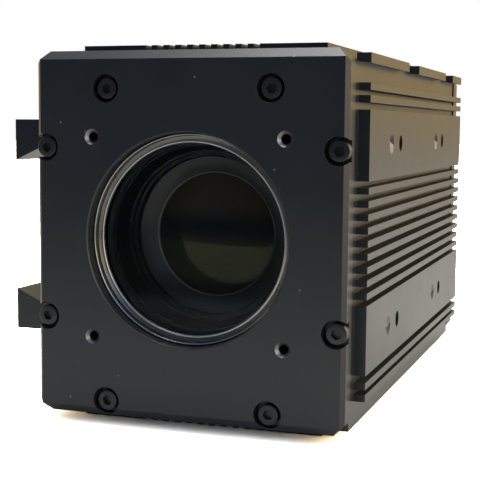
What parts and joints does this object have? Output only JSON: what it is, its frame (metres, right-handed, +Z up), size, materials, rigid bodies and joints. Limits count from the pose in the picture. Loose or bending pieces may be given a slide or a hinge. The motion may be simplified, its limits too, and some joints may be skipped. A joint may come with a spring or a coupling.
{
  "type": "daylight camera",
  "caption": "Box camera in a finned metal housing with a round front window, tapped mounting holes and side dovetail rails.",
  "frame": {"origin": "middle of the bottom lands that the housing stands on, below the lens axis", "axes": "+Z up, +Y along the lens axis from the front window to the rear cover, +X to the right seen from the front"},
  "size_m": [0.1013, 0.1848, 0.1022],
  "materials": {
    "black_anodised": "satin black anodised",
    "black_screw": "black oxide",
    "black_ring": "satin black anodised",
    "bright_ring": "fine ground",
    "window_glass": "polished and coated",
    "lens_glass": "polished and coated",
    "seal_rubber": "matt",
    "lens_black": "matt black",
    "bright_steel": "ground",
    "motor_case": "plain",
    "circuit_board": "solder mask",
    "chip_black": "moulded",
    "sensor_ceramic": "ceramic",
    "pillar_brass": "turned",
    "connector_shell": "satin black",
    "contact_insert": "plated"
  },
  "bodies": {
    "camera": {"board_pillars": "pillar_brass", "cap_screws": "black_screw", "cover_pillars": "pillar_brass", "focus_motor": "motor_case", "front_lens": "lens_glass", "front_lens_ring": "black_ring", "front_plate": "black_anodised", "front_seal": "seal_rubber", "housing": "black_anodised", "image_sensor": "sensor_ceramic", "iris_ring": "black_ring", "left_guide_rod": "bright_steel", "lens_barrel": "lens_black", "lens_base": "lens_black", "lens_screws": "black_screw", "lower_dovetail_rail": "black_anodised", "main_board": "circuit_board", "power_board": "circuit_board", "power_connector": "connector_shell", "power_contacts": "contact_insert", "power_converter": "chip_black", "processor": "chip_black", "rear_bulkhead": "lens_black", "rear_cover": "black_anodised", "rear_seal": "seal_rubber", "relay_lens": "lens_glass", "right_guide_rod": "bright_steel", "sensor_board": "circuit_board", "sensor_pillars": "pillar_brass", "upper_dovetail_rail": "black_anodised", "video_connector": "connector_shell", "video_contacts": "contact_insert", "window_bezel_ring": "bright_ring", "window_glass": "window_glass", "window_retaining_ring": "black_ring", "window_seal": "seal_rubber", "zoom_motor": "motor_case"},
    "zoom_carriage": {"zoom_carrier": "lens_black", "zoom_lens": "lens_glass"},
    "focus_carriage": {"focus_carrier": "lens_black", "focus_lens": "lens_glass"},
    "zoom_screw": {"zoom_lead_screw": "bright_steel"},
    "focus_screw": {"focus_lead_screw": "bright_steel"}
  },
  "joints": [
    {"name": "zoom_screw_turn", "type": "hinge", "parent": "camera", "child": "zoom_screw", "pos_m": [0.015, 0.02665, 0.0261], "axis": [0, 1, 0], "range_deg": [0, 3960]},
    {"name": "zoom_slide", "type": "slide", "parent": "camera", "child": "zoom_carriage", "axis": [0, 1, 0], "range_m": [0, 0.022]},
    {"name": "focus_screw_turn", "type": "hinge", "parent": "camera", "child": "focus_screw", "pos_m": [-0.015, 0.02665, 0.0261], "axis": [0, 1, 0], "range_deg": [0, 2160]},
    {"name": "focus_slide", "type": "slide", "parent": "camera", "child": "focus_carriage", "axis": [0, 1, 0], "range_m": [0, 0.012]}
  ],
  "couplings": [
    {"joint": "zoom_screw_turn", "follows": "zoom_slide", "rad_per_m": 3141.6},
    {"joint": "focus_screw_turn", "follows": "focus_slide", "rad_per_m": 3141.6}
  ]
}
